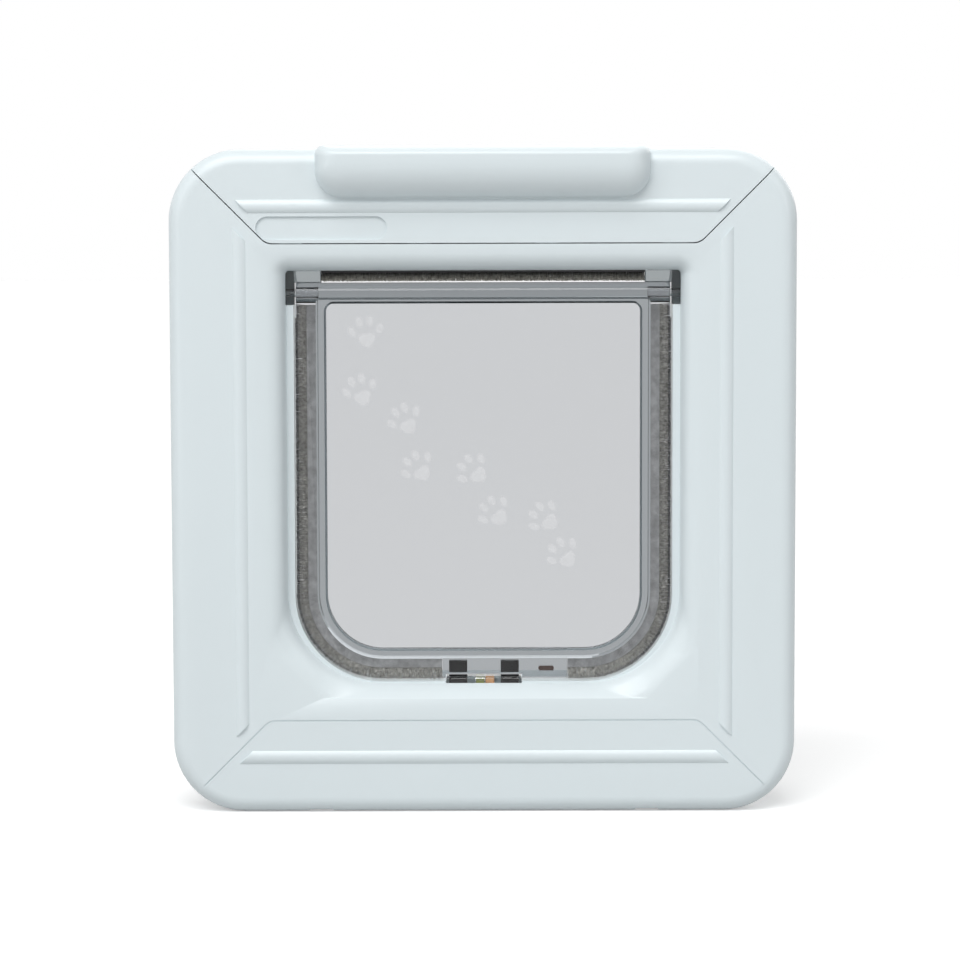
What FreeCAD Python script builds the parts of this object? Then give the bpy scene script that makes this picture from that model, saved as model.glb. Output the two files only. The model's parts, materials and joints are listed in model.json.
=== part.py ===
import FreeCAD, Part
import math
import os

Vector = FreeCAD.Vector

# A cat flap for a door 40 mm thick. X runs across it, -Y is the outside of the house
# and Z is up. The origin is the middle of the box that the part stands on.

# The two face frames
frame_width = 235.0
frame_height = 250.0
frame_corner_radius = 27.0
frame_edge_radius = 6.0
rear_edge_radius = 4.0
wall = 2.5
front_depth = 15.0
rear_depth = 12.0
door_thickness = 40.0

# The passage through the front frame, and the clearance round the flap
side_border = 46.3
top_border = 45.5
sill_height = 49.0
passage_corner_radius = 32.8
passage_top_radius = 1.5
flap_clearance = 0.8

# The mouth that leads to the passage
mouth_depth = 8.0
mouth_side_roll = 7.1
mouth_top_roll = 6.5
mouth_top_radius = 8.0
mouth_slope_rise = 5.1
sill_step = 0.4
mouth_slope_depth = 6.0
mouth_corner_leg = 19.0
mouth_corner_radius = 2.0
ledge_width = 2.7
mouth_sections = 5

# The two sleeves, one sliding in the other
sleeve_wall = 3.0
sleeve_play = 0.3
rear_sleeve_wall = 2.0
front_sleeve_reach = 22.0
rear_sleeve_reach = 30.0
rear_mouth_roll = 6.5
rear_mouth_sections = 4
sleeve_socket_depth = 4.0

# The clipped cover along the top, with its bulge
cover_height = 35.0
cover_depth = 9.0
cover_wall = 2.2
cover_floor = 1.8
cover_inner_radius = 6.0
seam_gap = 0.4
mitre_shift = 1.7
bulge_width = 125.0
bulge_drop = 18.0
bulge_rise = 1.3
bulge_proud = 9.0
bulge_end_roll = 8.0
bulge_low_roll = 13.0
bulge_top_roll = 3.5
bulge_low_radius = 10.0
bulge_high_radius = 3.5
bulge_front_radius = 1.2
bulge_least_radius = 0.3
bulge_wall = 2.0
bulge_angles = (0.0, 20.0, 40.0, 58.0, 74.0, 84.0, 90.0)
bulge_hollow_angles = 4
hook_count = 4
hook_inset = 45.5
hook_width = 8.0
hook_thickness = 1.8
hook_barb = 0.9
hook_play = 0.3

# Ribs, the shallow pill-shaped recess and the line that mirrors the cover's seam
rib_width = 5.0
rib_proud = 1.0
rib_sunk = 0.5
rib_end_inset = 25.2
rib_drop = 21.3
side_rib_inset = 26.5
side_rib_end = 29.2
pill_length = 49.0
pill_height = 8.7
pill_depth = 0.8
pill_inset = 57.3
pill_drop = 29.4
line_width = 0.5
line_depth = 0.35

# Notches in the bottom edge
notch_inset = 56.0
notch_width = 10.0
notch_top_width = 8.2
notch_height = 1.0

# The flap, measured from its hinge axis
axis_setback = 13.5
axis_drop = 8.5
hinge_bar_radius = 3.9
pane_thickness = 2.0
flange_width = 7.4
flange_front = 2.2
flange_thickness = 1.2
ridge_width = 3.8
ridge_depth = 6.0
ridge_chamfer = 0.7
flap_corner_radius = 32.0
window_top_radius = 3.0
window_top_drop = 4.0

# Hinge pins and the clear clips that carry them
pin_radius = 1.5
pin_clearance = 0.05
pin_in_bar = 8.4
pin_end_gap = 0.3
clip_arm_length = 10.4
clip_block_thickness = 3.5
clip_arm_height = 4.5
clip_block_height = 12.8
clip_front_depth = 5.0
clip_back_depth = 4.5
clip_bump_radius = 0.6
clip_bump_offset = 3.0
clip_play = 0.1
clip_housing_wall = 2.0
clip_round = 0.5

# Brush seals
brush_backing = 3.5
brush_reach_gap = 0.3
brush_depth = 3.6
brush_top_drop = 8.5
top_brush_depth = 6.0
top_brush_gap = 0.3
top_brush_backing = 0.8

# The lip on the flap's bottom edge, with its two magnets and a slot
lip_left = -15.7
lip_right = 31.6
lip_depth = 5.0
lip_height = 11.2
lip_notch_half = 14.5
lip_notch_height = 1.4
slot_centre = 23.6
slot_length = 6.6
slot_height = 2.1
slot_rise = 3.65
slot_depth = 2.0
magnet_offset = 9.8
magnet_width = 6.8
magnet_thickness = 3.2
flap_magnet_height = 4.5
flap_magnet_floor = 0.7
sill_magnet_height = 4.7
sill_magnet_gap = 0.5
magnet_play = 0.05
brush_lip_gap = 0.2

# The lock in the sill
carrier_half_width = 14.2
carrier_front = 6.0
carrier_back = 6.0
carrier_rise = 1.5
carrier_play = 0.15
carrier_pocket_wall = 2.0
pocket_floor = 1.2
bridge_half_depth = 1.7
latch_blade = 1.6
latch_lip_gap = 0.5
latch_height = 5.6
latch_foot = 1.3
latch_play = 0.2
latch_width = 3.3
latch_split = 0.4
latch_middle = 0.4
latch_nail = 0.9
latch_nail_height = 1.2
lock_travel = 2.6
latch_floor_gap = 0.15

# Screws, their bosses and their caps
screw_side_inset = 17.5
screw_rise = 24.0
screw_drop = 28.0
screw_radius = 2.0
screw_play = 0.1
screw_head_radius = 4.0
screw_head_height = 3.0
screw_tip_gap = 1.0
drive_radius = 1.6
drive_depth = 1.6
front_boss_radius = 4.5
rear_boss_radius = 8.0
cap_radius = 6.1
cap_play = 0.05
cap_thickness = 1.6
cap_recess = 3.0
cap_ring = 1.1

# Places worked out from the sizes above
total_depth = bulge_proud + front_depth + door_thickness + rear_depth
y_bulge = -total_depth / 2
y_face = y_bulge + bulge_proud
y_door_out = y_face + front_depth
y_door_in = y_door_out + door_thickness
y_back = y_door_in + rear_depth
y_ledge = y_face + mouth_depth
y_axis = y_face + axis_setback
y_front_sleeve_end = y_door_out + front_sleeve_reach
y_rear_sleeve_end = y_door_in - rear_sleeve_reach
half_frame = frame_width / 2
half_passage = half_frame - side_border
half_flap = half_passage - flap_clearance
half_ridge = half_flap - flange_width
half_window = half_ridge - ridge_width
z_ceiling = frame_height - top_border
z_axis = z_ceiling - axis_drop
z_flap_bottom = sill_height + flap_clearance
z_cover = frame_height - cover_height
ridge_corner_radius = flap_corner_radius - flange_width
window_corner_radius = ridge_corner_radius - ridge_width
mitre_base = frame_height - half_frame + mitre_shift
y_lip_front = y_axis - lip_depth / 2
y_lip_back = y_axis + lip_depth / 2
z_lip = z_flap_bottom + lip_notch_height
z_pocket = sill_height - sleeve_wall - sleeve_play - rear_sleeve_wall + pocket_floor
z_bridge = z_pocket + latch_floor_gap + latch_foot + lock_travel + latch_play
clip_inner_offset = half_passage - clip_arm_length
rear_passage_grow = sleeve_wall + sleeve_play

# A round corner of radius r is a chamfer with this share of r as its leg and both of
# its ends rounded by r. A little is added, so that a short straight stays between them.
ROUND_LEG = math.sqrt(2) * math.tan(math.pi / 8)
ROUND_SPARE = 0.3
OVER = 1.0

# The chamfer that runs along a rounding of radius 1 inside it
HOLLOW_CHAMFER = 2 - math.sqrt(2)


def unit(a, b):
    """Direction from a to b in the XZ plane."""
    length = math.hypot(b[0] - a[0], b[1] - a[1])
    return (b[0] - a[0]) / length, (b[1] - a[1]) / length


def rounded_wire(corners, place):
    """Closed wire through corners (u, v, radius). place turns (u, v) into a point."""
    starts, middles, ends = [], [], []
    count = len(corners)
    for i, (u, v, radius) in enumerate(corners):
        before = corners[i - 1]
        after = corners[(i + 1) % count]
        du0, dv0 = unit(before, (u, v))
        du1, dv1 = unit((u, v), after)
        turn = math.acos(max(-1.0, min(1.0, du0 * du1 + dv0 * dv1)))
        run = radius * math.tan(turn / 2)
        starts.append((u - du0 * run, v - dv0 * run))
        ends.append((u + du1 * run, v + dv1 * run))
        bu, bv = du1 - du0, dv1 - dv0
        size = math.hypot(bu, bv)
        reach = radius / math.cos(turn / 2) - radius
        middles.append((u + bu / size * reach, v + bv / size * reach))
    edges = []
    for i in range(count):
        if corners[i][2] > 0:
            edges.append(Part.Arc(place(*starts[i]), place(*middles[i]), place(*ends[i])).toShape())
        edges.append(Part.makeLine(place(*ends[i]), place(*starts[(i + 1) % count])))
    return Part.Wire(edges)


def at_depth(y):
    """Places (x, z) in the plane at depth y."""
    return lambda x, z: Vector(x, y, z)


def prism(corners, y0, y1):
    """Solid with the outline corners (x, z, radius) from depth y0 to depth y1."""
    return Part.Face(rounded_wire(corners, at_depth(y0))).extrude(Vector(0, y1 - y0, 0))


def box(x0, x1, y0, y1, z0, z1):
    return Part.makeBox(x1 - x0, y1 - y0, z1 - z0, Vector(x0, y0, z0))


def rod(x, z, radius, y0, y1):
    """Round bar along Y."""
    return Part.makeCylinder(radius, y1 - y0, Vector(x, y0, z), Vector(0, 1, 0))


def mirrored(shape):
    return shape.mirror(Vector(0, 0, 0), Vector(1, 0, 0))


def rectangle(x0, x1, z0, z1, radius=0.0):
    return [(x0, z1, radius), (x1, z1, radius), (x1, z0, radius), (x0, z0, radius)]


def opening(half, bottom, top, leg, low_radius, top_radius):
    """Outline of an opening with its two bottom corners cut at 45 degrees and rounded."""
    return [
        (-half, top, top_radius),
        (half, top, top_radius),
        (half, bottom + leg, low_radius),
        (half - leg, bottom, low_radius),
        (leg - half, bottom, low_radius),
        (-half, bottom + leg, low_radius),
    ]


def round_opening(half, bottom, top, radius, top_radius):
    return opening(half, bottom, top, radius * ROUND_LEG + ROUND_SPARE, radius, top_radius)


def passage_outline(grow):
    """The passage, grown on all sides."""
    return round_opening(
        half_passage + grow,
        sill_height - grow,
        z_ceiling + grow,
        passage_corner_radius + grow,
        passage_top_radius + max(grow, 0.0),
    )


def edges_at_depth(shape, y):
    return [e for e in shape.Edges if all(abs(v.Y - y) < 0.001 for v in e.Vertexes)]


def plate_block(y_outside, y_inside, inset):
    """Rounded rectangle of the face frames."""
    corners = rectangle(
        inset - half_frame,
        half_frame - inset,
        inset,
        frame_height - inset,
        frame_corner_radius - inset,
    )
    return prism(corners, y_outside, y_inside)


def face_plate(y_outside, y_inside, edge_radius):
    """Face frame's block, with its outer edge rounded."""
    solid = plate_block(y_outside, y_inside, 0.0)
    return solid.makeFillet(edge_radius, edges_at_depth(solid, y_outside))


def plate_hollow(y_outside, y_inside, inset, edge_radius):
    """Space inside the face frame's block, with a chamfer that clears its rounded edge."""
    solid = plate_block(y_outside, y_inside, inset)
    leg = (edge_radius - inset) * HOLLOW_CHAMFER
    return solid.makeChamfer(leg, edges_at_depth(solid, y_outside))


def front_mouth(grow):
    """Solid inside the front mouth's surface, from the face back to the ledge."""
    wires = []
    end_radius = passage_corner_radius + (ledge_width + sill_step) / 2
    end_leg = end_radius * ROUND_LEG + ROUND_SPARE
    for i in range(mouth_sections):
        angle = math.pi / 2 * i / (mouth_sections - 1)
        inset = math.sin(angle)
        depth = mouth_depth * (1 - math.cos(angle))
        rise = mouth_slope_rise * min(1.0, depth / mouth_slope_depth)
        half = half_passage + ledge_width + mouth_side_roll * (1 - inset)
        low_radius = mouth_corner_radius + (end_radius - mouth_corner_radius) * inset
        leg = mouth_corner_leg + (end_leg - mouth_corner_leg) * inset
        top_radius = mouth_top_radius + (passage_top_radius - mouth_top_radius) * inset
        corners = opening(
            half + grow,
            sill_height - sill_step - mouth_slope_rise + rise - grow,
            z_ceiling + mouth_top_roll * (1 - inset) + grow,
            leg + grow * ROUND_LEG,
            low_radius + grow,
            top_radius + grow,
        )
        wires.append(rounded_wire(corners, at_depth(y_face + depth)))
    return Part.makeLoft(wires, True, True)


def cover_outline(grow):
    """Outline of the top cover, whose slanted ends run along the frame's mitres."""
    bottom = z_cover - grow
    top = frame_height + bulge_rise + OVER
    shift = grow * math.sqrt(2) - mitre_base
    radius = max(cover_inner_radius - grow, 1.0)
    return [
        (-(top + shift), top, 0.0),
        (top + shift, top, 0.0),
        (bottom + shift, bottom, radius),
        (-(bottom + shift), bottom, radius),
    ]


def rib(along, across, length, upright):
    """Convex rib on the front face. Its ends are cut at 45 degrees, and its longer edge faces
    up before it is turned."""
    half = rib_width / 2
    bulge = Part.Arc(
        Vector(0, y_face, -half), Vector(0, y_face - rib_proud, 0), Vector(0, y_face, half)
    ).toShape()
    sides = Part.makePolygon([
        Vector(0, y_face, half),
        Vector(0, y_face + rib_sunk, half),
        Vector(0, y_face + rib_sunk, -half),
        Vector(0, y_face, -half),
    ])
    face = Part.Face(Part.Wire([bulge] + sides.Edges))
    bar = face.extrude(Vector(length, 0, 0))
    bar.translate(Vector(-length / 2, 0, 0))
    ends = [(-length / 2, half, 0), (length / 2, half, 0)]
    ends += [(length / 2 - rib_width, -half, 0), (rib_width - length / 2, -half, 0)]
    bar = bar.common(prism(ends, y_face - rib_proud - OVER, y_face + rib_sunk + OVER))
    middle = Vector(0, 0, 0)
    bar.rotate(middle, Vector(0, 1, 0), upright)
    bar.translate(Vector(along, 0, across))
    return bar


def pill(y0, y1):
    half = pill_length / 2
    x = pill_inset - half_frame
    z = frame_height - pill_drop
    radius = pill_height / 2 - 0.01
    return prism(
        rectangle(x - half, x + half, z - pill_height / 2, z + pill_height / 2, radius), y0, y1)


def panel_line():
    """Shallow groove below the mouth, the mirror image of the cover's seam."""
    def upside_down(grow):
        turned = [(x, frame_height - z, radius) for x, z, radius in cover_outline(grow)]
        return prism(turned, y_face - OVER, y_face + line_depth)

    return upside_down(line_width).cut(upside_down(0.0))


def bulge_solid(inset, angles):
    """The soft bar on the cover. Its outline shrinks as it comes forward."""
    def outline(angle, y):
        shrink = 1 - math.cos(angle)
        half = bulge_width / 2 - bulge_end_roll * shrink - inset
        z0 = frame_height - bulge_drop + bulge_low_roll * shrink + inset
        z1 = frame_height + bulge_rise - bulge_top_roll * shrink - inset
        low = bulge_low_radius + (bulge_front_radius - bulge_low_radius) * shrink - inset
        high = bulge_high_radius + (bulge_front_radius - bulge_high_radius) * shrink - inset
        high = max(high, bulge_least_radius)
        corners = [(-half, z1, high), (half, z1, high), (half, z0, low), (-half, z0, low)]
        return rounded_wire(corners, at_depth(y))

    wires = [outline(0.0, y_face + cover_depth + inset)]
    for degrees in angles:
        angle = math.radians(degrees)
        wires.append(outline(angle, y_face - bulge_proud * math.sin(angle) + inset))
    return Part.makeLoft(wires, True, True)


def hook_places():
    reach = half_frame - hook_inset
    return [reach * (2 * i / (hook_count - 1) - 1) for i in range(hook_count)]


def hook(x):
    """Snap hook behind the cover's bottom wall, with a barb that faces up."""
    y0 = y_face + cover_depth
    y_floor = y0 + cover_floor
    y1 = y_floor + hook_play + 2 * hook_barb
    z0 = z_cover
    z1 = z0 + hook_thickness
    corners = [
        (y0 - cover_wall, z0), (y1, z0), (y1, z1), (y_floor + hook_play, z1 + hook_barb),
        (y_floor + hook_play, z1), (y0 - cover_wall, z1),
    ]
    points = [Vector(x - hook_width / 2, y, z) for y, z in corners]
    face = Part.Face(Part.makePolygon(points + points[:1]))
    return face.extrude(Vector(hook_width, 0, 0))


def hook_slot(x):
    y0 = y_face + cover_depth
    return box(
        x - hook_width / 2 - hook_play, x + hook_width / 2 + hook_play,
        y0 - OVER, y0 + cover_floor + OVER,
        z_cover - hook_play, z_cover + hook_thickness + hook_barb + hook_play,
    )


def screw_places():
    x = half_frame - screw_side_inset
    return [(side * x, z) for side in (-1, 1) for z in (screw_rise, frame_height - screw_drop)]


def clip_zone(play, y0, y1):
    """The L that a hinge clip fills, grown by play and run from y0 to y1."""
    outside = half_passage - flap_clearance / 2 + clip_block_thickness + play
    block = box(
        half_passage - flap_clearance / 2, outside, y0, y1,
        z_ceiling - clip_block_height - play, z_ceiling,
    )
    arm = box(clip_inner_offset, outside, y0, y1, z_ceiling - clip_arm_height, z_ceiling)
    return block.fuse(arm).removeSplitter()


def clip_bump(radius):
    z = z_ceiling
    half = half_passage - flap_clearance / 2
    x0 = clip_inner_offset
    return Part.makeCylinder(
        radius, half - x0, Vector(x0, y_axis - clip_bump_offset, z), Vector(1, 0, 0))


def clip_back():
    return y_axis + clip_back_depth


def clip_housing():
    """Thicker stretch of the sleeve's wall behind each hinge clip."""
    outside = half_passage - flap_clearance / 2 + clip_block_thickness + clip_housing_wall
    return box(
        half_passage + sleeve_wall / 2, outside, y_ledge, clip_back() + clip_housing_wall,
        z_ceiling - clip_block_height - clip_housing_wall, z_ceiling + sleeve_wall / 2,
    )


def notch(x):
    corners = [
        (x - notch_width / 2 - OVER * (notch_width - notch_top_width) / 2 / notch_height, -OVER, 0),
        (x - notch_top_width / 2, notch_height, 0),
        (x + notch_top_width / 2, notch_height, 0),
        (x + notch_width / 2 + OVER * (notch_width - notch_top_width) / 2 / notch_height, -OVER, 0),
    ]
    return prism(corners, y_face - OVER, y_door_out + OVER)


def carrier_zone(play, z0, z1):
    return box(
        -carrier_half_width - play, carrier_half_width + play,
        y_axis - carrier_front - play, y_axis + carrier_back + play, z0, z1,
    )


def front_frame():
    outer = face_plate(y_face, y_door_out, frame_edge_radius)
    cavity = plate_hollow(y_face + wall, y_door_out + OVER, wall, frame_edge_radius)
    end_half = half_passage + ledge_width + wall
    end_grow = end_half - half_passage
    ledge = prism(passage_outline(end_grow), y_ledge, y_ledge + wall)
    sleeve = prism(passage_outline(sleeve_wall), y_ledge, y_front_sleeve_end)
    y_floor = y_face + cover_depth
    tray = prism(cover_outline(seam_gap + wall), y_face, y_floor + cover_floor)
    pocket = carrier_zone(
        carrier_pocket_wall, z_pocket - pocket_floor, sill_height - sleeve_wall / 2)
    housings = [clip_housing(), mirrored(clip_housing())]
    bosses = [rod(x, z, front_boss_radius, y_face + wall / 2, y_door_out) for x, z in screw_places()]
    cavity = cavity.cut([front_mouth(wall), ledge, sleeve, tray] + bosses + housings + [pocket])
    solid = outer.cut(cavity)
    solid = solid.fuse([sleeve, pocket] + housings)

    cuts = [prism(cover_outline(seam_gap), y_face - OVER, y_floor)]
    cuts.append(prism(passage_outline(0.0), y_ledge - OVER, y_front_sleeve_end + OVER))
    cuts.append(front_mouth(0.0))
    cuts.append(carrier_zone(carrier_play, z_pocket, sill_height + OVER))
    zone = clip_zone(clip_play, y_ledge - OVER, clip_back() + clip_play)
    groove = clip_bump(clip_bump_radius + pin_clearance)
    cuts += [zone, mirrored(zone), groove, mirrored(groove)]
    cuts += [hook_slot(x) for x in hook_places()]
    cuts += [notch(x) for x in (notch_inset - half_frame, half_frame - notch_inset)]
    cuts.append(panel_line())
    y_tip = y_face + wall
    for x, z in screw_places():
        cuts.append(rod(x, z, screw_radius + screw_play, y_tip, y_door_out + OVER))
    solid = solid.cut(cuts)

    x = half_frame - side_rib_inset
    side_length = frame_height - 2 * side_rib_end
    ribs = [rib(0.0, rib_drop, frame_width - 2 * rib_end_inset, 180.0)]
    ribs.append(rib(x, frame_height / 2, side_length, 90.0))
    ribs.append(rib(-x, frame_height / 2, side_length, -90.0))
    return solid.fuse(ribs).removeSplitter()


def top_cover():
    y_floor = y_face + cover_depth
    outer = face_plate(y_face, y_door_out, frame_edge_radius)
    shell = outer.common(prism(cover_outline(0.0), y_face - OVER, y_floor))
    inner = plate_hollow(y_face + cover_wall, y_door_out, cover_wall, frame_edge_radius)
    inner = inner.common(prism(cover_outline(-cover_wall), y_face, y_floor + OVER))
    solid = shell.fuse(bulge_solid(0.0, bulge_angles))
    solid = solid.fuse(
        rib(0.0, frame_height - rib_drop, frame_width - 2 * rib_end_inset, 0.0))
    solid = solid.cut([inner, bulge_solid(bulge_wall, bulge_angles[:bulge_hollow_angles])])
    solid = solid.cut(pill(y_face - OVER, y_face + pill_depth))
    return solid.fuse([hook(x) for x in hook_places()]).removeSplitter()


def hinge_clip():
    y0 = y_axis - clip_front_depth
    solid = clip_zone(0.0, y0, clip_back())
    front = [e for e in edges_at_depth(solid, y0)]
    solid = solid.makeFillet(clip_round, front)
    solid = solid.fuse(clip_bump(clip_bump_radius))
    bore = Part.makeCylinder(
        pin_radius + pin_clearance, 2 * half_passage, Vector(0, y_axis, z_axis), Vector(1, 0, 0))
    return solid.cut(bore).removeSplitter()


def pivot_pin():
    x0 = half_flap - pin_in_bar
    x1 = half_passage - flap_clearance / 2 + clip_block_thickness - pin_end_gap
    return Part.makeCylinder(pin_radius, x1 - x0, Vector(x0, y_axis, z_axis), Vector(1, 0, 0))


def ridge_outline():
    bottom = z_flap_bottom + flange_width
    return round_opening(half_ridge, bottom, z_axis, ridge_corner_radius, 0.0)


def window_outline():
    bottom = z_flap_bottom + flange_width + ridge_width
    return round_opening(
        half_window, bottom, z_axis - window_top_drop, window_corner_radius, window_top_radius)


def flap_outline():
    return round_opening(half_flap, z_flap_bottom, z_axis, flap_corner_radius, 0.0)


def flap_magnet_box(side, play):
    z0 = z_lip + flap_magnet_floor
    half = magnet_width / 2 + play
    x = side * magnet_offset
    return box(
        x - half, x + half,
        y_axis - magnet_thickness / 2 - play, y_axis + magnet_thickness / 2 + play,
        z0, z0 + flap_magnet_height + play,
    )


def flap():
    ridge = prism(ridge_outline(), y_axis - ridge_depth / 2, y_axis + ridge_depth / 2)
    ridge = ridge.cut(prism(
        window_outline(), y_axis - ridge_depth / 2 - OVER, y_axis + ridge_depth / 2 + OVER))
    rims = [e for y in (y_axis - ridge_depth / 2, y_axis + ridge_depth / 2)
            for e in edges_at_depth(ridge, y) if e.CenterOfMass.z < z_axis - OVER]
    ridge = ridge.makeChamfer(ridge_chamfer, rims)
    pane = prism(ridge_outline(), y_axis - pane_thickness / 2, y_axis + pane_thickness / 2)
    y_flange = y_axis - flange_front
    flange = prism(flap_outline(), y_flange, y_flange + flange_thickness)
    flange = flange.cut(prism(window_outline(), y_flange - OVER, y_flange + flange_thickness + OVER))
    bar = Part.makeCylinder(
        hinge_bar_radius, 2 * half_flap, Vector(-half_flap, y_axis, z_axis), Vector(1, 0, 0))
    lip = box(lip_left, lip_right, y_lip_front, y_lip_back, z_flap_bottom, z_flap_bottom + lip_height)
    solid = pane.fuse([ridge, flange, bar, lip])
    cuts = [box(
        -lip_notch_half, lip_notch_half, y_lip_front - OVER, y_lip_back + OVER,
        z_flap_bottom - OVER, z_lip,
    )]
    cuts += [flap_magnet_box(side, magnet_play) for side in (-1, 1)]
    z_slot = z_flap_bottom + slot_rise
    cuts.append(prism(
        rectangle(slot_centre - slot_length / 2, slot_centre + slot_length / 2,
                  z_slot - slot_height / 2, z_slot + slot_height / 2, slot_height / 2 - 0.01),
        y_lip_front - OVER, y_lip_front + slot_depth))
    for side in (-1, 1):
        start = Vector(side * half_flap, y_axis, z_axis)
        cuts.append(Part.makeCylinder(pin_radius, pin_in_bar, start, Vector(-side, 0, 0)))
    return solid.cut(cuts).removeSplitter()


def brush_zone(side):
    """Where the flap's brush runs on one side: it stops at the lip and below the hinge."""
    z0 = z_flap_bottom - OVER
    z1 = z_axis - brush_top_drop
    if side < 0:
        return box(-half_passage, lip_left - brush_lip_gap, y_axis - lip_depth, y_axis + lip_depth,
                   z0, z1)
    return box(lip_right + brush_lip_gap, half_passage, y_axis - lip_depth, y_axis + lip_depth,
               z0, z1)


def brush_band(inner, outer, side):
    """Band between two offsets from the flap's ridge, behind its flange."""
    y0 = y_axis - flange_front + flange_thickness
    bottom = z_flap_bottom + flange_width

    def offset(grow):
        return round_opening(
            half_ridge + grow, bottom - grow, z_axis, ridge_corner_radius + grow, 0.0)

    band = prism(offset(outer), y0, y0 + brush_depth)
    band = band.cut(prism(offset(inner), y0 - OVER, y0 + brush_depth + OVER))
    return band.common(brush_zone(side))


def flap_brush_backing(side):
    return brush_band(0.0, brush_backing, side)


def flap_brush_pile(side):
    reach = flange_width + flap_clearance - brush_reach_gap
    return brush_band(brush_backing, reach, side)


def top_brush_backing_strip():
    return box(
        -clip_inner_offset, clip_inner_offset,
        y_axis - top_brush_depth / 2, y_axis + top_brush_depth / 2,
        z_ceiling - top_brush_backing, z_ceiling,
    )


def top_brush_pile_strip():
    return box(
        -clip_inner_offset, clip_inner_offset,
        y_axis - top_brush_depth / 2, y_axis + top_brush_depth / 2,
        z_axis + hinge_bar_radius + top_brush_gap, z_ceiling - top_brush_backing,
    )


def sill_magnet_box(side, play):
    z1 = z_lip - sill_magnet_gap
    half = magnet_width / 2 + play
    x = side * magnet_offset
    return box(
        x - half, x + half,
        y_axis - magnet_thickness / 2 - play, y_axis + magnet_thickness / 2 + play,
        z1 - sill_magnet_height, z1,
    )


def latch_span(kind):
    """The two latches lie side by side, the entry latch on the left."""
    if kind == "entry":
        return latch_middle - latch_split / 2 - latch_width, latch_middle - latch_split / 2
    return latch_middle + latch_split / 2, latch_middle + latch_split / 2 + latch_width


def latch(kind):
    """Latch that rises out of the sill in front of the flap's lip or behind it."""
    x0, x1 = latch_span(kind)
    z0 = z_pocket + latch_floor_gap
    z1 = z0 + latch_height
    y_back_blade = y_lip_back + latch_lip_gap
    y_front_blade = y_lip_front - latch_lip_gap - latch_blade
    back = box(x0, x1, y_back_blade, y_back_blade + latch_blade, z0, z1)
    nail = box(
        x0, x1, y_back_blade + latch_blade, y_back_blade + latch_blade + latch_nail,
        z1 - latch_nail_height, z1,
    )
    if kind == "entry":
        foot = box(x0, x1, y_axis - bridge_half_depth, y_back_blade, z0, z0 + latch_foot)
        return back.fuse([nail, foot]).removeSplitter()
    foot = box(x0, x1, y_front_blade, y_back_blade, z0, z0 + latch_foot)
    front = box(x0, x1, y_front_blade, y_front_blade + latch_blade, z0, z1)
    return back.fuse([nail, foot, front]).removeSplitter()


def lock_carrier():
    """Clear block in the sill, with pockets for the magnets and slots for the latches."""
    z1 = sill_height + carrier_rise
    solid = carrier_zone(0.0, z_pocket, z1)
    top = [e for e in solid.Edges if all(abs(v.Z - z1) < 0.001 for v in e.Vertexes)]
    solid = solid.makeFillet(carrier_rise / 2, top)
    cuts = [sill_magnet_box(side, magnet_play) for side in (-1, 1)]
    entry = latch_span("entry")
    leave = latch_span("exit")
    x0, x1 = entry[0] - latch_play, leave[1] + latch_play
    y_back_blade = y_lip_back + latch_lip_gap
    y_front_blade = y_lip_front - latch_lip_gap - latch_blade
    y_rear = y_back_blade + latch_blade + latch_nail + latch_play
    cuts.append(box(x0, x1, y_axis + bridge_half_depth, y_rear, z_pocket - OVER, z1 + OVER))
    cuts.append(box(
        x0, x1, y_front_blade - latch_play, y_rear, z_pocket - OVER, z_bridge))
    cuts.append(box(
        leave[0] - latch_play, x1, y_front_blade - latch_play, y_axis - bridge_half_depth,
        z_pocket - OVER, z1 + OVER))
    return solid.cut(cuts).removeSplitter()


def rear_mouth(grow):
    """Solid inside the rear mouth, which rolls in from the rear face to the sleeve."""
    wires = []
    for i in range(rear_mouth_sections):
        angle = math.pi / 2 * i / (rear_mouth_sections - 1)
        roll = rear_mouth_roll * (1 - math.sin(angle))
        depth = rear_mouth_roll * (1 - math.cos(angle))
        outline = passage_outline(rear_passage_grow + roll + grow)
        wires.append(rounded_wire(outline, at_depth(y_back - depth)))
    return Part.makeLoft(wires, True, True)


def rear_frame():
    """Face frame on the inside, with a socket round its passage for the rear sleeve."""
    socket_grow = rear_passage_grow + rear_sleeve_wall + sleeve_play
    hollow = plate_hollow(y_back - wall, y_door_in - OVER, wall, rear_edge_radius)
    passage_wall = prism(passage_outline(socket_grow + wall), y_door_in - 2 * OVER, y_back)
    bosses = [rod(x, z, rear_boss_radius, y_door_in - OVER, y_back) for x, z in screw_places()]
    hollow = hollow.cut([rear_mouth(wall), passage_wall] + bosses)
    solid = face_plate(y_back, y_door_in, rear_edge_radius).cut(hollow)
    cuts = [
        prism(passage_outline(rear_passage_grow), y_door_in - OVER, y_back + OVER),
        prism(passage_outline(socket_grow), y_door_in - OVER, y_door_in + sleeve_socket_depth),
        rear_mouth(0.0),
    ]
    y_head = y_back - cap_recess - screw_head_height
    for x, z in screw_places():
        cuts.append(rod(x, z, screw_radius + screw_play, y_door_in - OVER, y_back))
        cuts.append(rod(x, z, screw_head_radius + screw_play, y_head, y_back))
        cuts.append(rod(x, z, cap_radius + cap_play, y_back - cap_recess, y_back + OVER))
    return solid.cut(cuts).removeSplitter()


def rear_sleeve():
    """Liner that stands in the rear frame's socket and slides over the front sleeve."""
    y_end = y_door_in + sleeve_socket_depth
    sleeve = prism(
        passage_outline(rear_passage_grow + rear_sleeve_wall), y_rear_sleeve_end, y_end)
    return sleeve.cut(prism(
        passage_outline(rear_passage_grow), y_rear_sleeve_end - OVER, y_end + OVER))


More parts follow.
